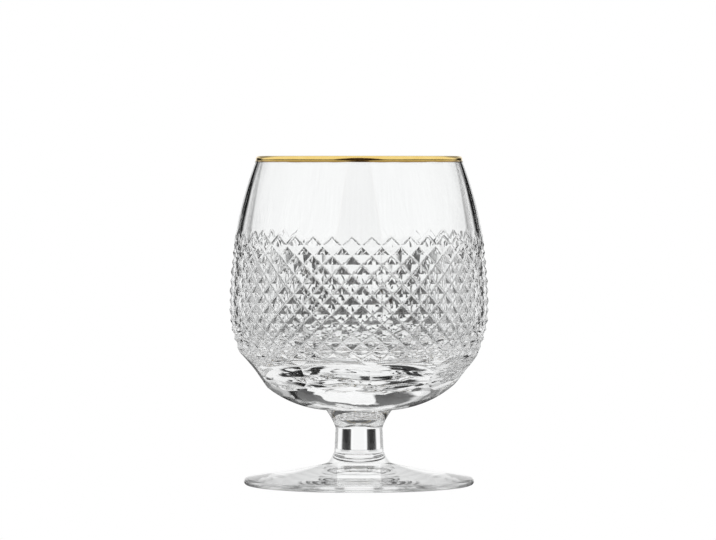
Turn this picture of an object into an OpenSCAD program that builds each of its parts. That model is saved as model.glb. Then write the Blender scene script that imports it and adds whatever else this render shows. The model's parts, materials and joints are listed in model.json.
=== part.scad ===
// Brandy snifter in cut crystal with a gilded rim: foot, stem, bowl and gold rim on one upright axis.
// Millimetres, +Z up. The origin is the middle of the plane that the foot rests on.

/* [Foot] */
// Diameter of the foot
foot_d = 73.5; // [64:0.5:90]
// Height of the foot up to its joint with the stem
foot_h = 7.2; // [6:0.1:10]
// Thickness of the foot's rounded edge
foot_edge_t = 2.2; // [1.6:0.1:3]
// Diameter of the shallow hollow under the foot
hollow_d = 56; // [40:0.5:60]
// Depth of the hollow under the foot
hollow_h = 1.2; // [0.4:0.1:2]

/* [Stem] */
// Height of the stem between its two joints
stem_h = 16.8; // [14:0.2:40]
// Diameter of the stem at its waist, under the upper flare
waist_d = 15; // [12:0.1:15.5]
// Diameter of the stem above its lower flare
shank_d = 15.7; // [15:0.1:18]
// Diameter of the stem at its joint with the bowl
upper_end_d = 21.2; // [19:0.1:24]
// Diameter of the stem at its joint with the foot
lower_end_d = 20.4; // [19:0.1:24]
// Height of the flare towards the bowl
upper_flare_h = 5.9; // [4:0.1:7]
// Height of the flare towards the foot
lower_flare_h = 3.8; // [2:0.1:5]

/* [Bowl] */
// Height of the bowl from its joint with the stem to its lip
bowl_h = 80.84; // [72:0.01:95]
// Diameter of the bowl at its belly
belly_d = 83; // [76:0.5:92]
// Height of the belly above the joint with the stem
belly_h = 32.5; // [30:0.5:40]
// Diameter of the bowl's mouth, measured outside
mouth_d = 64.8; // [56:0.1:72]
// Thickness of the wall at the mouth
mouth_wall_t = 1.6; // [1.2:0.1:2.2]
// Thickness of the wall at the belly, before it is cut
belly_wall_t = 3.2; // [3:0.1:5]
// Thickness of the glass over the stem
base_t = 13.5; // [9:0.1:16]
// How far the fire-polished lip stands proud of the wall on each side
lip_proud = 0.1; // [0.05:0.01:0.2]

/* [Diamond cutting] */
// Number of diamonds in each row around the bowl
diamond_count = 40; // [30:1:44]
// Number of half rows of diamonds
diamond_rows = 13; // [9:1:13]
// Height of the first row above the joint with the stem
diamond_top_h = 56.3; // [54:0.1:60]
// Depth of the grooves between the diamonds
groove_h = 1.1; // [0.6:0.05:1.3]
// Length over which a groove runs out to the plain wall
runout = 1; // [0.5:0.1:1.5]
// Depth that the wheels take off the points of the diamonds
skim = 0.05; // [0.03:0.01:0.1]
// Turn of the whole cut pattern around the axis, in degrees
cut_turn = 5.8; // [0:0.1:36]

/* [Olive cuts] */
// Number of olive cuts around the bowl
olive_count = 10; // [10:1:14]
// Height of the middle of the olive cuts above the joint with the stem
olive_h = 12.3; // [11:0.1:14]
// Depth of an olive cut at its middle
olive_depth = 1.55; // [1.2:0.05:1.8]
// Radius of the round stone that cuts an olive
stone_r = 42; // [30:0.5:50]
// Width of that stone, which reaches clear of the glass at both ends
stone_w = 32; // [30:0.5:40]

/* [Gold rim] */
// Thickness of the gilding
gold_t = 0.1; // [0.05:0.01:0.2]
// Clearance between the gilding and the glass
gold_gap = 0.06; // [0.03:0.01:0.1]
// Height of the gold band outside, from the lip down
gold_band_h = 1.5; // [1.2:0.1:4]
// Height of the gold band inside, from the lip down
gold_inner_h = 1.3; // [1.1:0.1:3]

/* [Hidden] */
// Facets of the round surfaces
$fn = 144;
// Reach of a cutting shape past the surface that it cuts
overrun = 2;
// Points along each curve of the outlines
curve_steps = 24;
// Share of the foot's rise that belongs to the round fillet at the stem, and how fast the fillet dies out
foot_fillet_share = 0.14;
foot_fillet_power = 6;
// How fast the stem's two flares open towards their joints: 1 is a straight cone
upper_flare_power = 1.35;
lower_flare_power = 1.6;
// Height of a diamond as a share of its width
diamond_height_share = 0.962;
// Shares of the grooves' depth that are left at the first and at the last row, where the wheel lifts off
first_row_share = 0.35;
last_row_share = 0.15;
// Fullness of the inside of the bowl below the belly: 2 is an ellipse, and more is squarer
cavity_power = 2.6;

foot_r = foot_d / 2;
foot_edge_r = foot_edge_t / 2;
foot_flat_r = foot_r - foot_edge_r;
hollow_r = hollow_d / 2;
waist_r = waist_d / 2;
shank_r = shank_d / 2;
upper_end_r = upper_end_d / 2;
lower_end_r = lower_end_d / 2;
stem_top_z = foot_h + stem_h;
belly_r = belly_d / 2;
belly_z = stem_top_z + belly_h;
mouth_r = mouth_d / 2;
mouth_z = stem_top_z + bowl_h;
mouth_rise = mouth_z - belly_z;
inner_belly_r = belly_r - belly_wall_t;
inner_mouth_r = mouth_r - mouth_wall_t;
cavity_h = belly_h - base_t;
reach = belly_r + overrun;

// Radius of the arc that leaves upright, climbs by rise and leans over by lean
function arc_r(rise, lean) = (rise * rise + lean * lean) / (2 * lean);
// Distance of that arc from its own centre's axis after a climb
function arc_x(radius, climb) = sqrt(radius * radius - climb * climb);

lower_r = arc_r(belly_h, belly_r - upper_end_r);
upper_r = arc_r(mouth_rise, belly_r - mouth_r);
inner_upper_r = arc_r(mouth_rise, inner_belly_r - inner_mouth_r);

// Outer arc of the bowl at a height, and the bowl's radius there
function side_arc_r(z) = z < belly_z ? lower_r : upper_r;
function side_r(z) = belly_r - side_arc_r(z) + arc_x(side_arc_r(z), z - belly_z);
function inner_upper_side_r(z) = inner_belly_r - inner_upper_r + arc_x(inner_upper_r, z - belly_z);
// Points of a side above the belly, from its widest radius up to a height, moved out by grow
function upper_curve(widest_r, radius, top_z, grow) =
    let (full = asin((top_z - belly_z) / radius))
    [for (i = [0:curve_steps])
        let (turn = full * i / curve_steps)
        [widest_r - radius + (radius + grow) * cos(turn), belly_z + (radius + grow) * sin(turn)]];
// Outward normal of the bowl's side at a height, as radial and upright parts
function side_out(z) = arc_x(side_arc_r(z), z - belly_z) / side_arc_r(z);
function side_up(z) = (z - belly_z) / side_arc_r(z);

lip_r = mouth_wall_t / 2 + lip_proud;
lip_z = mouth_z - lip_r;
lip_x = (side_r(lip_z) + inner_upper_side_r(lip_z)) / 2;

// Heights of the rows: each step is half a diamond, which shrinks as the bowl narrows
function row_step(z) = diamond_height_share * PI * side_r(z) / diamond_count * side_out(z);
function next_row(z) = z - row_step(z - row_step(z) / 2);
diamond_top_z = stem_top_z + diamond_top_h;
row_heights = [for (i = 0, z = diamond_top_z; i <= diamond_rows; i = i + 1, z = next_row(z)) z];
cut_heights = concat(
    [diamond_top_z + runout],
    row_heights,
    [row_heights[diamond_rows] - runout]);
cut_last = len(cut_heights) - 1;
cut_columns = 2 * diamond_count;

olive_z = stem_top_z + olive_h;
olive_lean = asin(-side_up(olive_z));

// Plain round plate with a rounded edge and a shallow hollow under it
module foot() {
    top = [for (i = [0:curve_steps])
        let (along = i / curve_steps, left = 1 - along)
        [lower_end_r + along * (foot_flat_r - lower_end_r),
         foot_edge_t + (foot_h - foot_edge_t)
            * ((1 - foot_fillet_share) * left + foot_fillet_share * pow(left, foot_fillet_power))]];
    edge = [for (i = [1:curve_steps])
        let (turn = 90 - 180 * i / curve_steps)
        [foot_flat_r + foot_edge_r * cos(turn), foot_edge_r + foot_edge_r * sin(turn)]];
    hollow = [for (i = [curve_steps:-1:0])
        let (along = i / curve_steps)
        [hollow_r * along, hollow_h * (1 - along * along)]];
    color([0.90, 0.92, 0.93])
        rotate_extrude()
            polygon(concat([[0, foot_h]], top, edge, hollow));
}

// Solid drawn stem: a slightly tapered shank that flares to the foot and to the bowl
module stem() {
    // Hollow curve that leaves the shank at one radius and opens to another over a height
    function flare(from_r, to_r, rise, power) =
        [for (i = [0:curve_steps])
            let (along = i / curve_steps)
            [from_r + (to_r - from_r) * pow(along, power), rise * along]];
    lower_flare = flare(shank_r, lower_end_r, lower_flare_h, lower_flare_power);
    lower = [for (i = [curve_steps:-1:0])
        [lower_flare[i].x, foot_h + lower_flare_h - lower_flare[i].y]];
    upper = [for (point = flare(waist_r, upper_end_r, upper_flare_h, upper_flare_power))
        [point.x, stem_top_z - upper_flare_h + point.y]];
    color([0.88, 0.90, 0.92])
        rotate_extrude()
            polygon(concat([[0, foot_h]], lower, upper, [[0, stem_top_z]]));
}

// Blown bowl with its two rings of cutting
module bowl() {
    color([0.86, 0.89, 0.91])
        difference() {
            difference() {
                rotate_extrude()
                    wall_outline(0);
                olive_cutting();
            }
            diamond_cutting();
        }
}

// Fired gilding that wraps the lip and a band of the wall below it
module gold_rim() {
    color([0.83, 0.66, 0.28])
        rotate_extrude()
            difference() {
                intersection() {
                    wall_outline(gold_gap + gold_t);
                    gold_window();
                }
                wall_outline(gold_gap);
            }
}

// Section of the wall, with each of its faces moved out by grow
module wall_outline(grow) {
    difference() {
        side_outline(grow);
        cavity_outline(grow);
    }
    translate([lip_x, lip_z])
        circle(r = lip_r + grow);
}

// Outer half outline of the bowl up to the middle of the lip
module side_outline(grow) {
    translate([0, stem_top_z])
        square([max(belly_r - lower_r, waist_r), belly_h]);
    intersection() {
        translate([belly_r - lower_r, belly_z])
            circle(r = lower_r + grow);
        translate([0, stem_top_z])
            square([reach, belly_h]);
    }
    polygon(concat([[0, belly_z]], upper_curve(belly_r, upper_r, lip_z, grow), [[0, lip_z]]));
}

// Half outline of the hollow inside, open past the lip
module cavity_outline(grow) {
    floor_curve = [for (i = [curve_steps:-1:1])
        let (turn = 90 * i / curve_steps)
        [(inner_belly_r - grow) * pow(cos(turn), 2 / cavity_power),
         belly_z - (cavity_h - grow) * pow(sin(turn), 2 / cavity_power)]];
    open_z = mouth_z + overrun;
    polygon(concat(floor_curve, upper_curve(inner_belly_r, inner_upper_r, open_z, -grow), [[0, open_z]]));
}

// The part of the wall's section that is gilded
module gold_window() {
    translate([lip_x, mouth_z - gold_band_h])
        square([reach, gold_band_h + overrun]);
    translate([0, mouth_z - gold_inner_h])
        square([lip_x, gold_inner_h + overrun]);
}

// All that the wheels take off between the diamonds, as one ring around the bowl
module diamond_cutting() {
    function row_share(row) = row == 1 ? first_row_share : row == cut_last - 1 ? last_row_share : 1;
    function cut_depth(row, column) =
        row == 0 || row == cut_last || (row + column) % 2 == 0 ? skim
            : skim + (groove_h - skim) * row_share(row);
    function cut_point(row, column) =
        let (z = cut_heights[row], depth = cut_depth(row, column),
             r = side_r(z) - depth * side_out(z), turn = cut_turn + 180 * column / diamond_count)
        [r * cos(turn), r * sin(turn), z - depth * side_up(z)];
    function ring_point(row, column) =
        let (p = cut_point(row, column), far = reach / norm([p.x, p.y]))
        [p.x * far, p.y * far, p.z];
    function at(ring, column) = ring * cut_columns + column % cut_columns;

    points = concat(
        [for (row = [0:cut_last]) for (column = [0:cut_columns - 1]) cut_point(row, column)],
        [for (row = [cut_last, 0]) for (column = [0:cut_columns - 1]) ring_point(row, column)]);
    // A groove joins two low points, so each square of points is split along its groove
    faces = [for (ring = [0:cut_last + 2]) for (column = [0:cut_columns - 1])
        let (next = (ring + 1) % (cut_last + 3), split = (ring + column) % 2 == 1,
             a = at(ring, column), b = at(ring, column + 1),
             c = at(next, column + 1), d = at(next, column))
        each split ? [[c, b, a], [d, c, a]] : [[d, b, a], [d, c, b]]];
    polyhedron(points, faces);
}

// Overlapping olives, each left by a round stone held level against the bowl
module olive_cutting() {
    for (i = [0:olive_count - 1])
        rotate([0, 0, cut_turn + 360 * i / olive_count])
            translate([side_r(olive_z), 0, olive_z])
                rotate([0, olive_lean, 0])
                    translate([stone_r - olive_depth, 0, 0])
                        rotate([90, 0, 0])
                            cylinder(r = stone_r, h = stone_w, center = true);
}

foot();
stem();
bowl();
gold_rim();
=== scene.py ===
import json
import math

import bmesh
import bpy
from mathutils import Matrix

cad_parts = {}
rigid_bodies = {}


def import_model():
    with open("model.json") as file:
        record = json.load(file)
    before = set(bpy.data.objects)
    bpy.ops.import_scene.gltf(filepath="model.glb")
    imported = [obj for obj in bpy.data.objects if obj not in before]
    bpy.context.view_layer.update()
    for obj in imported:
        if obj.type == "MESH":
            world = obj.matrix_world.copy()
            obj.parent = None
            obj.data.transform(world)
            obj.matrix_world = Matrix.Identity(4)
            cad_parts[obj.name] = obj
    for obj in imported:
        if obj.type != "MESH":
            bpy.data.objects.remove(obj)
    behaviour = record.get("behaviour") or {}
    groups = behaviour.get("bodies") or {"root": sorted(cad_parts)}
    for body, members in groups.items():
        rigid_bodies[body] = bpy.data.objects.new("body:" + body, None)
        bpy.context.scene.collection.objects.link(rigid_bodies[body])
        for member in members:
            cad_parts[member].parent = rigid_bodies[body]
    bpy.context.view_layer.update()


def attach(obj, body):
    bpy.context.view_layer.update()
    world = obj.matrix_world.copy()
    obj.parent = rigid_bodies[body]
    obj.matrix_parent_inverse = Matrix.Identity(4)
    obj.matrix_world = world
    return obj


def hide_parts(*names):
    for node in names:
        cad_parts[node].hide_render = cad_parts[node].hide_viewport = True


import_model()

# Foot: a round plate of lead crystal, pressed hot on the end of the stem and fire-polished.
# It is thickest at the joint, falls to a thin rounded edge and stands on a flat ring around a shallow hollow.

# Sizes are written in millimetres, and MM turns them into metres.
MM = 0.001
# Each ring of points has this many columns, and starts at the turn, in degrees, of the first cut.
COLUMNS = 320
CUT_TURN = 5.8

foot_radius = 36.75
foot_height = 7.2
foot_edge = 2.2
foot_joint = 10.2
foot_flat = foot_radius - foot_edge / 2
hollow_radius = 28.0
hollow_height = 1.2
# The top is mostly a plain cone, and the rest of its rise is a neck that gathers towards the joint.
cone_share = 0.86
neck_power = 6
slope_steps = 48
edge_steps = 24
hollow_steps = 32


def revolve(outline, uneven=None):
    """Turns an outline of (radius, height) pairs about the upright axis.

    A radius of zero closes to one point. If uneven is given, it says how far a spot is lifted at a turn.
    """
    points, rings = [], []
    for spot, (radius, height) in enumerate(outline):
        if radius == 0.0:
            rings.append([len(points)])
            points.append((0.0, 0.0, height))
            continue
        rings.append(list(range(len(points), len(points) + COLUMNS)))
        for column in range(COLUMNS):
            turn = math.radians(CUT_TURN) + math.tau * column / COLUMNS
            lift = uneven(spot, turn) if uneven else 0.0
            points.append((radius * math.cos(turn), radius * math.sin(turn), height + lift))
    return points, rings


def band_between(one, other):
    """Faces between two neighbouring rings, as quads, or as a fan where one of them is a single point."""
    made = []
    for column in range(COLUMNS):
        after = (column + 1) % COLUMNS
        if len(one) == 1:
            made.append((one[0], other[after], other[column]))
        elif len(other) == 1:
            made.append((one[column], one[after], other[0]))
        else:
            made.append((one[column], one[after], other[after], other[column]))
    return made


def skin_over(rings):
    """Faces over a row of rings, from each to the next."""
    return [face for one, other in zip(rings, rings[1:]) for face in band_between(one, other)]


def outward_mesh(name, points, faces):
    """A mesh in metres from points in millimetres, with all its faces turned outwards."""
    mesh = bpy.data.meshes.new(name)
    mesh.from_pydata([(x * MM, y * MM, z * MM) for x, y, z in points], [], faces)
    shape = bmesh.new()
    shape.from_mesh(mesh)
    bmesh.ops.recalc_face_normals(shape, faces=shape.faces)
    shape.to_mesh(mesh)
    shape.free()
    return mesh


def closed_piece(name, points, faces, materials, seams=(), near=1e-4):
    """A closed piece whose level faces near the heights of its seams take its second material."""
    mesh = outward_mesh(name, points, faces)
    for material in materials:
        mesh.materials.append(material)
    for face in mesh.polygons:
        heights = [mesh.vertices[spot].co.z / MM for spot in face.vertices]
        if any(max(abs(height - seam) for height in heights) < near for seam in seams):
            face.material_index = 1
    piece = bpy.data.objects.new(name, mesh)
    bpy.context.scene.collection.objects.link(piece)
    return piece


def polish(piece, sharp_degrees=12.0):
    """Smooth shading that keeps every cut edge crisp and every facet flat."""
    piece.data.shade_smooth()
    piece.data.set_sharp_from_angle(angle=math.radians(sharp_degrees))
    weigh = piece.modifiers.new("even shading", "WEIGHTED_NORMAL")
    weigh.mode = "FACE_AREA"
    weigh.keep_sharp = True


def lead_crystal(name, wave_scale, wave_depth):
    """Clear lead crystal: a faint cold tint, a fire-polished skin with slow waves and traces of handling."""
    material = bpy.data.materials.new(name)
    material.use_nodes = True
    nodes, links = material.node_tree.nodes, material.node_tree.links
    nodes.clear()
    place = nodes.new("ShaderNodeTexCoord")
    tint_noise = nodes.new("ShaderNodeTexNoise")
    tint_noise.inputs["Scale"].default_value = 30.0
    tint_noise.inputs["Detail"].default_value = 2.0
    tint = nodes.new("ShaderNodeValToRGB")
    tint.color_ramp.elements[0].color = (0.975, 0.982, 0.982, 1.0)
    tint.color_ramp.elements[1].color = (0.992, 0.995, 0.994, 1.0)
    touch_noise = nodes.new("ShaderNodeTexNoise")
    touch_noise.inputs["Scale"].default_value = 90.0
    touch_noise.inputs["Detail"].default_value = 4.0
    touch = nodes.new("ShaderNodeMapRange")
    touch.inputs["From Min"].default_value = 0.45
    touch.inputs["From Max"].default_value = 0.75
    touch.inputs["To Min"].default_value = 0.0
    touch.inputs["To Max"].default_value = 0.012
    wave_noise = nodes.new("ShaderNodeTexNoise")
    wave_noise.inputs["Scale"].default_value = wave_scale
    wave_noise.inputs["Detail"].default_value = 1.0
    wave = nodes.new("ShaderNodeBump")
    wave.inputs["Strength"].default_value = 1.0
    wave.inputs["Distance"].default_value = wave_depth * MM
    glass = nodes.new("ShaderNodeBsdfPrincipled")
    glass.inputs["Transmission Weight"].default_value = 1.0
    glass.inputs["IOR"].default_value = 1.54
    light_path = nodes.new("ShaderNodeLightPath")
    clear = nodes.new("ShaderNodeBsdfTransparent")
    clear.inputs["Color"].default_value = (0.93, 0.94, 0.94, 1.0)
    blend = nodes.new("ShaderNodeMixShader")
    output = nodes.new("ShaderNodeOutputMaterial")
    for noise in (tint_noise, touch_noise, wave_noise):
        links.new(place.outputs["Object"], noise.inputs["Vector"])
    links.new(tint_noise.outputs["Fac"], tint.inputs["Fac"])
    links.new(tint.outputs["Color"], glass.inputs["Base Color"])
    links.new(touch_noise.outputs["Fac"], touch.inputs["Value"])
    links.new(touch.outputs["Result"], glass.inputs["Roughness"])
    links.new(wave_noise.outputs["Fac"], wave.inputs["Height"])
    links.new(wave.outputs["Normal"], glass.inputs["Normal"])
    links.new(light_path.outputs["Is Shadow Ray"], blend.inputs["Fac"])
    links.new(glass.outputs["BSDF"], blend.inputs[1])
    links.new(clear.outputs["BSDF"], blend.inputs[2])
    links.new(blend.outputs["Shader"], output.inputs["Surface"])
    return material


# Where two gathers melt together the glass runs on without a surface, so the joint's faces are clear.
fused_seam = bpy.data.materials.new("fused_seam")
fused_seam.use_nodes = True
fused_seam.node_tree.nodes.clear()
seam_clear = fused_seam.node_tree.nodes.new("ShaderNodeBsdfTransparent")
seam_output = fused_seam.node_tree.nodes.new("ShaderNodeOutputMaterial")
fused_seam.node_tree.links.new(seam_clear.outputs["BSDF"], seam_output.inputs["Surface"])

foot_outline = [(0.0, foot_height)]
for step in range(slope_steps + 1):
    along = step / slope_steps
    left = 1 - along
    rise = cone_share * left + (1 - cone_share) * left ** neck_power
    foot_outline.append((foot_joint + along * (foot_flat - foot_joint),
                         foot_edge + (foot_height - foot_edge) * rise))
for step in range(1, edge_steps + 1):
    turn = math.radians(90 - 180 * step / edge_steps)
    foot_outline.append((foot_flat + foot_edge / 2 * math.cos(turn), foot_edge / 2 * (1 + math.sin(turn))))
for step in range(hollow_steps + 1):
    along = 1 - step / hollow_steps
    foot_outline.append((hollow_radius * along, hollow_height * (1 - along * along)))
foot_points, foot_rings = revolve(foot_outline)
foot_crystal = lead_crystal("foot_crystal", wave_scale=60.0, wave_depth=0.012)
foot = closed_piece("foot", foot_points, skin_over(foot_rings), [foot_crystal, fused_seam], [foot_height])
polish(foot)
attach(foot, "root")
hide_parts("foot")

# Stem: a short solid rod of lead crystal, drawn hot from the bowl, with a slight taper in its shank.
# It flares at both ends, where it is fused to the foot and to the bowl.

stem_top = 24.0
waist_radius = 7.5
shank_radius = 7.85
upper_flare = 5.9
lower_flare = 3.8
bowl_joint = 10.6
shank_low = foot_height + lower_flare
shank_high = stem_top - upper_flare
shank_steps = 12


def flare(from_radius, to_radius, rise, power, steps):
    """Outline of a flare that leaves the shank softly and opens to its joint over a height."""
    return [(from_radius + (to_radius - from_radius) * (step / steps) ** power, rise * step / steps)
            for step in range(steps + 1)]


lower_curve = flare(shank_radius, foot_joint, lower_flare, power=1.6, steps=24)
upper_curve = flare(waist_radius, bowl_joint, upper_flare, power=1.35, steps=28)
stem_outline = [(0.0, foot_height)]
stem_outline += [(radius, shank_low - height) for radius, height in reversed(lower_curve)]
for step in range(1, shank_steps):
    stem_outline.append((shank_radius + (waist_radius - shank_radius) * step / shank_steps,
                         shank_low + (shank_high - shank_low) * step / shank_steps))
stem_outline += [(radius, shank_high + height) for radius, height in upper_curve]
stem_outline.append((0.0, stem_top))
stem_points, stem_rings = revolve(stem_outline)
stem_crystal = lead_crystal("stem_crystal", wave_scale=120.0, wave_depth=0.008)
stem = closed_piece("stem", stem_points, skin_over(stem_rings), [stem_crystal, fused_seam],
                    [foot_height, stem_top])
polish(stem)
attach(stem, "root")
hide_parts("stem")

# Bowl: blown lead crystal, cut on wheels and polished again. Crossed slanting grooves leave a band of pointed
# diamonds around the belly, and a round stone leaves a ring of overlapping olives under them.

bowl_top = 104.84
belly_radius = 41.5
belly_height = 56.5
mouth_radius = 32.4
mouth_wall = 1.6
belly_wall = 3.2
base_thickness = 13.5
lip_proud = 0.1
wall_steps = 24
lip_steps = 36
inner_steps = 36
base_steps = 36

# The diamonds: their count around, half rows, upper border, and height as a share of their width.
diamond_count = 40
diamond_rows = 13
diamond_top = 80.3
diamond_height_share = 0.962
half_columns = 2 * diamond_count

# The grooves: their bottoms are rounded over a share of the flank, the points are skimmed in polishing, and
# the wheel comes down over a run at the top and a shorter one at the bottom of the band.
groove_depth = 1.05
groove_round_share = 0.2
point_skim = 0.05
top_start = 78.7
top_run = 4.0
low_run = 2.5
border_width = 1.2
least_brink_share = 0.25
most_brink_share = 0.7

# The inside below the belly is a rounded well with slow ripples that start a share of the way down it.
# Each bend of the ripples has a size, a count around and a start.
well_power = 2.6
well_steps = 84
ripple_depth = 0.045
ripple_start_share = 0.35
ripple_rise_share = 0.25
ripple_end_share = 0.08
ripple_pitch = 62
ripple_bends = ((1.4, 3, 0.7), (0.9, 7, 2.0))

# The olives: their count, height on the wall and depth, and the stone that cuts them.
olive_count = 10
olive_height = 36.3
olive_depth = 1.55
stone_radius = 42.0
stone_half_width = 16.0
stone_half_arc = 36


def arc_radius(rise, lean):
    """Radius of the arc that leaves upright, climbs by rise and leans over by lean."""
    return (rise * rise + lean * lean) / (2 * lean)


lower_arc = arc_radius(belly_height - stem_top, belly_radius - bowl_joint)
upper_arc = arc_radius(bowl_top - belly_height, belly_radius - mouth_radius)
inner_belly = belly_radius - belly_wall
inner_mouth = mouth_radius - mouth_wall
inner_arc = arc_radius(bowl_top - belly_height, inner_belly - inner_mouth)


def side_of_bowl(height):
    """Outer radius of the uncut bowl at a height, and its outward normal as radial and upright parts."""
    arc = lower_arc if height < belly_height else upper_arc
    across = math.sqrt(arc * arc - (height - belly_height) ** 2)
    return belly_radius - arc + across, across / arc, (height - belly_height) / arc


def inside_of_bowl(height):
    """Inner radius of the bowl at a height above the belly."""
    return inner_belly - inner_arc + math.sqrt(inner_arc * inner_arc - (height - belly_height) ** 2)


def half_diamond(height):
    """How far half a diamond climbs at a height, where the wall leans."""
    radius, out = side_of_bowl(height)[:2]
    return diamond_height_share * math.pi * radius / diamond_count * out


row_heights = [diamond_top]
for row in range(diamond_rows):
    row_above = row_heights[-1]
    row_heights.append(row_above - half_diamond(row_above - half_diamond(row_above) / 2))

bowl_points, bowl_faces = [], []


def cut_point(column, height, depth):
    """Adds a point of the cut surface: column counts half diamonds around, depth goes in along the normal."""
    radius, out, up = side_of_bowl(height)
    turn = math.radians(CUT_TURN) + math.pi * column / diamond_count
    radius -= depth * out
    bowl_points.append((radius * math.cos(turn), radius * math.sin(turn), height - depth * up))
    return len(bowl_points) - 1


def plain_ring(radius, height):
    """Adds a full ring of points on an uncut part of the bowl."""
    first = len(bowl_points)
    for column in range(COLUMNS):
        turn = math.radians(CUT_TURN) + math.tau * column / COLUMNS
        bowl_points.append((radius * math.cos(turn), radius * math.sin(turn), height))
    return list(range(first, first + COLUMNS))


# The flank of a diamond falls straight from its point and rounds off into the bottom of the groove.
flank_steps = 4
flank_shares = [1 - step / flank_steps * groove_round_share for step in range(flank_steps, 0, -1)]
flank_fall = (groove_depth - point_skim) / (1 - groove_round_share / 2)


def run_in(height):
    """How far the wheel has come down at a height: 0 at the two borders of the band, and 1 clear of them."""
    way = min((top_start - height) / top_run, (height - row_heights[-1]) / low_run, 1.0)
    way = max(way, 0.0)
    return way * way * (3 - 2 * way)


def wheel_lift(height):
    """How far the wheel is lifted off towards the borders, where the grooves run out."""
    return (groove_depth - point_skim) * (1 - run_in(height))


def flank_depth(share, height):
    """Depth of the cut at a share of the way from a diamond's point to the bottom of the groove beside it."""
    past = max(0.0, share - (1 - groove_round_share))
    points_off = point_skim * run_in(height)
    fall = flank_fall * (share - past * past / (2 * groove_round_share))
    return max(points_off, points_off + fall - wheel_lift(height))


corners = {}
for row, height in enumerate(row_heights):
    for column in range(half_columns):
        is_point = (row + column) % 2 == 1
        corners[row, column] = cut_point(column, height, flank_depth(0.0 if is_point else 1.0, height))

ridges = {}


def ridge(point, crossing):
    """Points down a ridge, from a diamond's point to a crossing of grooves, made once and then shared."""
    key = (point, (crossing[0], crossing[1] % half_columns))
    if key not in ridges:
        line = []
        start, end = row_heights[point[0]], row_heights[crossing[0]]
        brink = wheel_lift((start + end) / 2) / flank_fall
        brink = min(max(brink, least_brink_share), most_brink_share)
        for share in [brink] + flank_shares:
            column = point[1] + share * (crossing[1] - point[1])
            height = start + share * (end - start)
            line.append(cut_point(column, height, flank_depth(share, height)))
        line.append(corners[crossing[0], crossing[1] % half_columns])
        ridges[key] = line
    return ridges[key]


for row in range(diamond_rows + 1):
    for column in range(half_columns):
        if (row + column) % 2 == 0:
            continue
        for rise in (-1, 1):
            if not 0 <= row + rise <= diamond_rows:
                continue
            for side in (-1, 1):
                up_ridge = ridge((row, column), (row + rise, column))
                side_ridge = ridge((row, column), (row, column + side))
                bowl_faces.append((corners[row, column], up_ridge[0], side_ridge[0]))
                for step in range(len(up_ridge) - 1):
                    bowl_faces.append((up_ridge[step], up_ridge[step + 1],
                                       side_ridge[step + 1], side_ridge[step]))

# Along a border only the order of the points counts, so a brink is placed half-way down its ridge.
border_places = [0.5] + flank_shares


def border_line(row):
    """The points along the first or last row of diamonds, once around, with their places in half diamonds."""
    line = []
    for column in range(half_columns):
        after = column + 1
        line.append((float(column), corners[row, column]))
        if (row + column) % 2 == 1:
            between = ridge((row, column), (row, after))[:-1]
            line += [(column + place, spot) for place, spot in zip(border_places, between)]
        else:
            point = after % half_columns
            between = ridge((row, point), (row, point - 1))[:-1]
            line += [(after - place, spot) for place, spot in reversed(list(zip(border_places, between)))]
    return line


def zip_border(line, ring):
    """Triangles between a row of diamonds and a plain ring that has more or fewer points."""
    plain = [(half_columns * column / COLUMNS, spot) for column, spot in enumerate(ring)]
    line = line + [(line[0][0] + half_columns, line[0][1])]
    plain = plain + [(plain[0][0] + half_columns, plain[0][1])]
    one = other = 0
    while one < len(line) - 1 or other < len(plain) - 1:
        if other == len(plain) - 1 or (one < len(line) - 1 and line[one + 1][0] <= plain[other + 1][0]):
            bowl_faces.append((line[one][1], line[one + 1][1], plain[other][1]))
            one += 1
        else:
            bowl_faces.append((line[one][1], plain[other + 1][1], plain[other][1]))
            other += 1


# The clear wall rises from the band, rounds over the lip and comes down inside to the belly.
lip_radius = mouth_wall / 2 + lip_proud
lip_height = bowl_top - lip_radius
lip_middle = (side_of_bowl(lip_height)[0] + inside_of_bowl(lip_height)) / 2
lip_lap = math.degrees(math.acos((mouth_wall / 2) / lip_radius))
lip_turns = [math.radians(-lip_lap + (180 + 2 * lip_lap) * step / lip_steps) for step in range(1, lip_steps)]
wall_start = row_heights[0] + border_width
wall_end = lip_height - lip_radius * math.sin(math.radians(lip_lap))
wall_rings = []
for step in range(wall_steps + 1):
    height = wall_start + (wall_end - wall_start) * step / wall_steps
    wall_rings.append(plain_ring(side_of_bowl(height)[0], height))
for turn in lip_turns:
    wall_rings.append(plain_ring(lip_middle + lip_radius * math.cos(turn),
                                 lip_height + lip_radius * math.sin(turn)))
for step in range(inner_steps + 1):
    height = wall_end + (belly_height - wall_end) * step / inner_steps
    wall_rings.append(plain_ring(inside_of_bowl(height), height))


def well_swell(down, turn):
    """How far the inside swells in at a share of the way down the well, as slow ripples left by blowing."""
    fade_in = min(1.0, max(0.0, (down - ripple_start_share) / ripple_rise_share))
    fade_out = min(1.0, (1 - down) / ripple_end_share)
    bend = sum(size * math.sin(count * turn + start) for size, count, start in ripple_bends)
    return ripple_depth * fade_in * fade_out * math.sin(ripple_pitch * down + bend)


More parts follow.
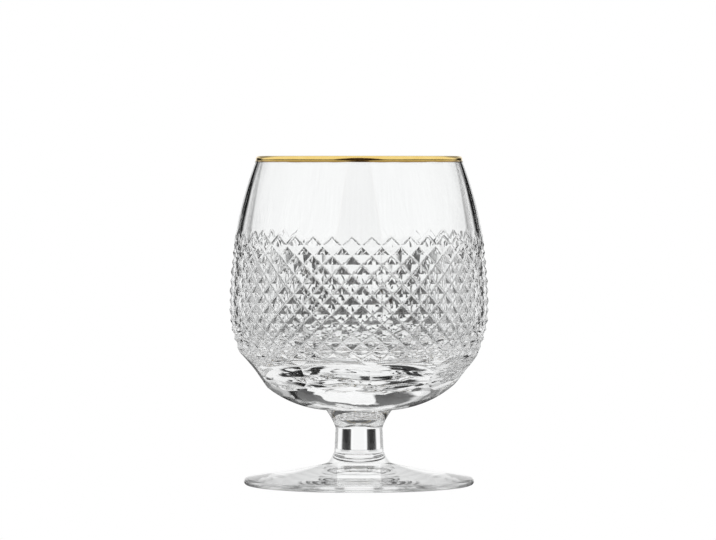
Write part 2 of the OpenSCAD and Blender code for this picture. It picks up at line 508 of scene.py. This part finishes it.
well_height = belly_height - stem_top - base_thickness
for step in range(1, well_steps):
    down = step / well_steps
    dip = math.radians(90 * down)
    radius = inner_belly * math.cos(dip) ** (2 / well_power)
    height = belly_height - well_height * math.sin(dip) ** (2 / well_power)
    outward = (radius / inner_belly) ** (well_power - 1) / inner_belly
    downward = ((belly_height - height) / well_height) ** (well_power - 1) / well_height
    length = math.hypot(outward, downward)
    ring = plain_ring(radius, height)
    for spot in ring:
        x, y, z = bowl_points[spot]
        swell = well_swell(down, math.atan2(y, x))
        shrink = 1 - swell * outward / length / radius
        bowl_points[spot] = (x * shrink, y * shrink, z + swell * downward / length)
    wall_rings.append(ring)
bowl_points.append((0.0, 0.0, belly_height - well_height))
wall_rings.append([len(bowl_points) - 1])
bowl_faces += skin_over(wall_rings)
zip_border(border_line(0), wall_rings[0])

# The plain base runs from under the band down to the joint with the stem.
base_start = row_heights[-1] - border_width
base_rings = []
turn_start = math.asin((belly_height - base_start) / lower_arc)
turn_end = math.asin((belly_height - stem_top) / lower_arc)
for step in range(base_steps + 1):
    turn = turn_start + (turn_end - turn_start) * step / base_steps
    height = belly_height - lower_arc * math.sin(turn) if step < base_steps else stem_top
    base_rings.append(plain_ring(belly_radius - lower_arc + lower_arc * math.cos(turn), height))
bowl_points.append((0.0, 0.0, stem_top))
base_rings.append([len(bowl_points) - 1])
bowl_faces += skin_over(base_rings)
zip_border(border_line(diamond_rows), base_rings[0])

bowl_crystal = lead_crystal("bowl_crystal", wave_scale=45.0, wave_depth=0.010)
bowl = closed_piece("bowl", bowl_points, bowl_faces, [bowl_crystal, fused_seam], [stem_top])

# Each olive is left by the rim of a round stone held level against the bowl.
olive_radius, olive_out, olive_up = side_of_bowl(olive_height)
stone_out = olive_radius + (stone_radius - olive_depth) * olive_out
stone_height = olive_height + (stone_radius - olive_depth) * olive_up
stone_lean = math.atan2(-olive_up, -olive_out)
stone_outline = []
for degrees in range(-stone_half_arc, stone_half_arc + 1):
    turn = stone_lean + math.radians(degrees)
    stone_outline.append((stone_out + stone_radius * math.cos(turn),
                          stone_height + stone_radius * math.sin(turn)))
stone_outline.append((stone_out, stone_height))
side_count = len(stone_outline)
stone_faces = []
for spot in range(side_count):
    after = (spot + 1) % side_count
    stone_faces.append((spot, after, side_count + after, side_count + spot))
stone_faces += [tuple(reversed(range(side_count))), tuple(range(side_count, 2 * side_count))]
stones = bpy.data.collections.new("stones")
for olive in range(olive_count):
    olive_turn = math.radians(CUT_TURN) + math.tau * olive / olive_count
    ahead, aside = math.cos(olive_turn), math.sin(olive_turn)
    stone_points = [(away * ahead - along * aside, away * aside + along * ahead, height)
                    for along in (-stone_half_width, stone_half_width) for away, height in stone_outline]
    stone_mesh = outward_mesh("stone", stone_points, stone_faces)
    stone_mesh.materials.append(bowl_crystal)
    stones.objects.link(bpy.data.objects.new("stone", stone_mesh))
bpy.context.scene.collection.children.link(stones)
cutting = bowl.modifiers.new("olives", "BOOLEAN")
cutting.operation = "DIFFERENCE"
cutting.operand_type = "COLLECTION"
cutting.collection = stones
cutting.solver = "MANIFOLD"
bpy.context.view_layer.update()
uncut_mesh = bowl.data
cut_mesh = bpy.data.meshes.new_from_object(bowl.evaluated_get(bpy.context.evaluated_depsgraph_get()))
bowl.modifiers.clear()
bowl.data = cut_mesh
cut_mesh.name = "bowl"
bpy.data.meshes.remove(uncut_mesh)
for stone in list(stones.objects):
    bpy.data.meshes.remove(stone.data)
bpy.data.collections.remove(stones)
polish(bowl)
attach(bowl, "root")
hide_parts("bowl")

# Gold rim: liquid bright gold brushed over the lip and a narrow band below it, then fired on.
# It is a skin of metal whose lower edge wavers a little, as the brush left it. Along that edge its gold is
# painted dark brown, as painted shade.

# The outer and inner faces of the skin stand this far off the glass.
gold_outer_skin = 0.16
gold_inner_skin = 0.02
gold_band = 1.8
gold_inner_band = 1.3
# Between these two heights above the lower edge, the painted shade, a dark brown line, gives way to full
# gold.
painted_shade_end = 0.15
gold_full_start = 0.5
band_steps = 6
# Each wave of the brushed edge has a size, a count around and a start.
brush_waves = ((0.03, 7, 0.4), (0.025, 16, 2.1), (0.02, 29, 0.0))

gold_low = bowl_top - gold_band
gold_inner_low = bowl_top - gold_inner_band


def gold_side(grow):
    """Outline of the lip moved out by grow, from the band's lower edge outside over the top to the inside."""
    line = []
    for step in range(band_steps + 1):
        height = gold_low + (wall_end - gold_low) * step / band_steps
        line.append((side_of_bowl(height)[0] + grow, height))
    for turn in lip_turns:
        line.append((lip_middle + (lip_radius + grow) * math.cos(turn),
                     lip_height + (lip_radius + grow) * math.sin(turn)))
    for height in (wall_end, gold_inner_low):
        line.append((inside_of_bowl(height) - grow, height))
    return [spot for spot in line if spot[0] > lip_middle or spot[1] >= gold_inner_low]


gold_outline = gold_side(gold_outer_skin) + gold_side(gold_inner_skin)[::-1]
brushed_spots = (0, len(gold_outline) - 1)


def brush_waver(spot, turn):
    """How far the brushed lower edge of the band strays at a turn; the rest of the outline stays as it is."""
    if spot not in brushed_spots:
        return 0.0
    return sum(size * math.sin(count * turn + start) for size, count, start in brush_waves)


gold_points, gold_rings = revolve(gold_outline, brush_waver)

gilding = bpy.data.materials.new("gilding")
gilding.use_nodes = True
gilding_nodes, gilding_links = gilding.node_tree.nodes, gilding.node_tree.links
gilding_nodes.clear()
gold_place = gilding_nodes.new("ShaderNodeTexCoord")
gold_noise = gilding_nodes.new("ShaderNodeTexNoise")
gold_noise.inputs["Scale"].default_value = 260.0
gold_noise.inputs["Detail"].default_value = 4.0
gold_tone = gilding_nodes.new("ShaderNodeValToRGB")
gold_tone.color_ramp.elements[0].color = (0.86, 0.60, 0.17, 1.0)
gold_tone.color_ramp.elements[1].color = (0.95, 0.74, 0.29, 1.0)
gold_sheen = gilding_nodes.new("ShaderNodeMapRange")
gold_sheen.inputs["To Min"].default_value = 0.10
gold_sheen.inputs["To Max"].default_value = 0.22
gold_parts = gilding_nodes.new("ShaderNodeSeparateXYZ")
# Painted shade: the base colour is dark brown at the band's lower edge and fades into gold above it.
painted_shade_fade = gilding_nodes.new("ShaderNodeMapRange")
painted_shade_fade.interpolation_type = "SMOOTHSTEP"
painted_shade_fade.inputs["From Min"].default_value = (gold_low + painted_shade_end) * MM
painted_shade_fade.inputs["From Max"].default_value = (gold_low + gold_full_start) * MM
gold_painted_shade = gilding_nodes.new("ShaderNodeMix")
gold_painted_shade.data_type = "RGBA"
gold_painted_shade.inputs["A"].default_value = (0.20, 0.11, 0.03, 1.0)
gold_metal = gilding_nodes.new("ShaderNodeBsdfPrincipled")
gold_metal.inputs["Metallic"].default_value = 1.0
gold_output = gilding_nodes.new("ShaderNodeOutputMaterial")
gilding_links.new(gold_place.outputs["Object"], gold_noise.inputs["Vector"])
gilding_links.new(gold_place.outputs["Object"], gold_parts.inputs["Vector"])
gilding_links.new(gold_noise.outputs["Fac"], gold_tone.inputs["Fac"])
gilding_links.new(gold_noise.outputs["Fac"], gold_sheen.inputs["Value"])
gilding_links.new(gold_parts.outputs["Z"], painted_shade_fade.inputs["Value"])
gilding_links.new(painted_shade_fade.outputs["Result"], gold_painted_shade.inputs["Factor"])
gilding_links.new(gold_tone.outputs["Color"], gold_painted_shade.inputs["B"])
gilding_links.new(gold_painted_shade.outputs["Result"], gold_metal.inputs["Base Color"])
gilding_links.new(gold_sheen.outputs["Result"], gold_metal.inputs["Roughness"])
gilding_links.new(gold_metal.outputs["BSDF"], gold_output.inputs["Surface"])

gold_rim = closed_piece("gold_rim", gold_points, skin_over(gold_rings + gold_rings[:1]), [gilding])
polish(gold_rim, sharp_degrees=40.0)
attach(gold_rim, "root")
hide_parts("gold_rim")

# Stage: a small pale floor under the glass and a white studio around it, seen by the camera as plain white.
# Through the glass and in its reflections the studio has dark gaps and cards, which draw edges and cuts.

floor_radius = 35.0
floor_drop = 0.05
floor_grey = (0.35, 0.35, 0.35, 1.0)

floor_mesh = bpy.data.meshes.new("floor")
floor_shape = bmesh.new()
bmesh.ops.create_circle(floor_shape, cap_ends=True, segments=128, radius=floor_radius * MM)
floor_shape.to_mesh(floor_mesh)
floor_shape.free()
floor = bpy.data.objects.new("floor", floor_mesh)
floor.location.z = -floor_drop * MM
bpy.context.scene.collection.objects.link(floor)

# The camera sees the floor nearly white, also through the glass, and other rays see it grey with a gloss.
floor_paint = bpy.data.materials.new("floor_paint")
floor_paint.use_nodes = True
floor_nodes, floor_links = floor_paint.node_tree.nodes, floor_paint.node_tree.links
floor_nodes.clear()
floor_light_path = floor_nodes.new("ShaderNodeLightPath")
floor_matt = floor_nodes.new("ShaderNodeBsdfDiffuse")
floor_matt.inputs["Color"].default_value = floor_grey
floor_glow = floor_nodes.new("ShaderNodeEmission")
floor_glow.inputs["Strength"].default_value = 0.8
floor_white = floor_nodes.new("ShaderNodeAddShader")
floor_gloss = floor_nodes.new("ShaderNodeBsdfPrincipled")
floor_gloss.inputs["Base Color"].default_value = floor_grey
floor_gloss.inputs["Roughness"].default_value = 0.12
floor_gloss.inputs["IOR"].default_value = 1.5
floor_rays = floor_nodes.new("ShaderNodeMath")
floor_rays.operation = "MAXIMUM"
floor_seen = floor_nodes.new("ShaderNodeMixShader")
floor_output = floor_nodes.new("ShaderNodeOutputMaterial")
floor_links.new(floor_matt.outputs["BSDF"], floor_white.inputs[0])
floor_links.new(floor_glow.outputs["Emission"], floor_white.inputs[1])
floor_links.new(floor_light_path.outputs["Is Camera Ray"], floor_rays.inputs[0])
floor_links.new(floor_light_path.outputs["Is Transmission Ray"], floor_rays.inputs[1])
floor_links.new(floor_rays.outputs["Value"], floor_seen.inputs["Fac"])
floor_links.new(floor_gloss.outputs["BSDF"], floor_seen.inputs[1])
floor_links.new(floor_white.outputs["Shader"], floor_seen.inputs[2])
floor_links.new(floor_seen.outputs["Shader"], floor_output.inputs["Surface"])
floor_mesh.materials.append(floor_paint)

studio = bpy.data.worlds.new("studio")
bpy.context.scene.world = studio
studio.use_nodes = True
studio_nodes, studio_links = studio.node_tree.nodes, studio.node_tree.links
studio_nodes.clear()


def sky_math(operation, *values):
    """One step of arithmetic on the direction of a ray or on a level of light."""
    node = studio_nodes.new("ShaderNodeMath")
    node.operation = operation
    for socket, value in zip(node.inputs, values):
        if isinstance(value, float):
            socket.default_value = value
        else:
            studio_links.new(value, socket)
    return node.outputs["Value"]


def product(first, *others):
    """Levels of light or shade multiplied together."""
    for other in others:
        first = sky_math("MULTIPLY", first, other)
    return first


def light_past(shade):
    """The share of the light that a shade leaves."""
    return sky_math("SUBTRACT", 1.0, shade)


def soft_edge(value, start, end, low, high):
    """A soft edge between two levels."""
    node = studio_nodes.new("ShaderNodeMapRange")
    node.interpolation_type = "SMOOTHSTEP"
    studio_links.new(value, node.inputs["Value"])
    for name, number in (("From Min", start), ("From Max", end), ("To Min", low), ("To Max", high)):
        node.inputs[name].default_value = number
    return node.outputs["Result"]


def angle_edge(angle, start, end, low, high):
    """A soft edge between two levels, from a start to an end in degrees."""
    return soft_edge(angle, math.radians(start), math.radians(end), low, high)


# A ray's lift above the horizon, its turn away from the back and from the front, and from the nearest axis.
sky_place = studio_nodes.new("ShaderNodeTexCoord")
sky_parts = studio_nodes.new("ShaderNodeSeparateXYZ")
studio_links.new(sky_place.outputs["Generated"], sky_parts.inputs["Vector"])
sky_x, sky_y, sky_z = (sky_parts.outputs[axis] for axis in "XYZ")
lift = sky_math("ARCSINE", sky_z)
back_turn = sky_math("ABSOLUTE", sky_math("ARCTAN2", sky_x, sky_y))
front_turn = sky_math("ARCTAN2", sky_x, sky_math("MULTIPLY", sky_y, -1.0))
off_axis = sky_math("PINGPONG", sky_math("ARCTAN2", sky_y, sky_x), math.radians(45.0))

# Through the glass: eight white panels, with gaps that are darkest at the back, under a dark ceiling.
# A dark card lies low all around, darkest at the back, where its middle has a lighter slot.
gap_end = angle_edge(lift, -3.4, -2.6, math.radians(36.0), math.radians(32.5))
gaps = product(angle_edge(off_axis, 12.5, 15.5, 0.0, 1.0),
               angle_edge(sky_math("SUBTRACT", off_axis, gap_end), -4.0, 3.0, 1.0, 0.0),
               angle_edge(lift, 8.0, 12.0, 0.985, 0.0),
               soft_edge(sky_y, 0.45, 0.6, 0.5, 1.0))
ceiling = angle_edge(lift, 46.0, 54.0, 1.0, 0.05)
card_slot = product(angle_edge(lift, -30.0, -26.0, 0.8, 0.0),
                    angle_edge(back_turn, 4.0, 8.0, 1.0, 0.0))
low_card = product(angle_edge(lift, -18.0, -13.0, 0.94, 0.0),
                   angle_edge(lift, -50.0, -40.0, 0.5, 1.0),
                   angle_edge(back_turn, 32.0, 42.0, 1.0, 0.35),
                   light_past(card_slot))
panels = product(ceiling, light_past(low_card), light_past(gaps))

# In reflections: a dark hill of a room in front, which falls off to its sides, and dark below the horizon.
# Dark cards stand on both sides of the back, thin ones lie along the sides, and a grey veil hangs behind.
# The hill is nearly a radian high, and it falls by hill_fall times the square of the turn.
hill_fall = 4.5
front_hill = sky_math("ADD", lift, product(front_turn, front_turn, hill_fall))
front_light = soft_edge(front_hill, 0.90, 1.0, 0.05, 1.0)
low_light = angle_edge(lift, -5.0, -2.0, 0.06, 1.0)
back_card = product(angle_edge(back_turn, 15.0, 20.0, 0.0, 0.99),
                    angle_edge(back_turn, 38.0, 46.0, 1.0, 0.0),
                    angle_edge(lift, 8.2, 9.6, 1.0, 0.0))
side_card = product(angle_edge(back_turn, 62.0, 72.0, 0.0, 0.95),
                    angle_edge(back_turn, 125.0, 135.0, 1.0, 0.0),
                    angle_edge(lift, 0.4, 1.0, 0.0, 1.0),
                    angle_edge(lift, 2.8, 3.4, 1.0, 0.0))
veil = product(angle_edge(lift, 9.0, 15.0, 0.0, 0.7),
               angle_edge(lift, 26.0, 36.0, 1.0, 0.0),
               angle_edge(back_turn, 35.0, 50.0, 1.0, 0.0))
mirrored = product(front_light, low_light, light_past(back_card), light_past(side_card), light_past(veil))

# The room in front is warm in colour, and all else is white.
sky_light_path = studio_nodes.new("ShaderNodeLightPath")
is_mirrored = sky_light_path.outputs["Is Reflection Ray"]
seen_in_glass = sky_math("ADD", product(mirrored, is_mirrored), product(panels, light_past(is_mirrored)))
room_tone = studio_nodes.new("ShaderNodeMix")
room_tone.data_type = "RGBA"
room_tone.inputs["A"].default_value = (1.0, 1.0, 1.0, 1.0)
room_tone.inputs["B"].default_value = (1.0, 0.42, 0.16, 1.0)
sky_light = studio_nodes.new("ShaderNodeBackground")
sky_output = studio_nodes.new("ShaderNodeOutputWorld")
studio_links.new(product(is_mirrored, light_past(front_light)), room_tone.inputs["Factor"])
studio_links.new(room_tone.outputs["Result"], sky_light.inputs["Color"])
studio_links.new(sky_math("MAXIMUM", seen_in_glass, sky_light_path.outputs["Is Camera Ray"]),
                 sky_light.inputs["Strength"])
studio_links.new(sky_light.outputs["Background"], sky_output.inputs["Surface"])

camera_side = -0.32
camera_distance = 1400.0
camera_height = 106.0
aim_height = 68.56
camera_data = bpy.data.cameras.new("camera")
camera_data.sensor_width = 36.0
camera_data.sensor_fit = "HORIZONTAL"
camera_data.lens = 220.5
camera = bpy.data.objects.new("camera", camera_data)
camera.location = (camera_side * MM, -camera_distance * MM, camera_height * MM)
camera_tip = math.atan2(camera_height - aim_height, camera_distance)
camera.rotation_euler = (math.pi / 2 - camera_tip, 0.0, 0.0)
bpy.context.scene.collection.objects.link(camera)
bpy.context.scene.camera = camera

bpy.context.scene.view_settings.view_transform = "Standard"

# A ray passes many cut faces before it leaves the glass, so it is followed for longer than usual.
rays = bpy.context.scene.cycles
rays.max_bounces = 40
rays.transmission_bounces = 40
rays.glossy_bounces = 12
rays.transparent_max_bounces = 40
rays.caustics_refractive = False
rays.caustics_reflective = False
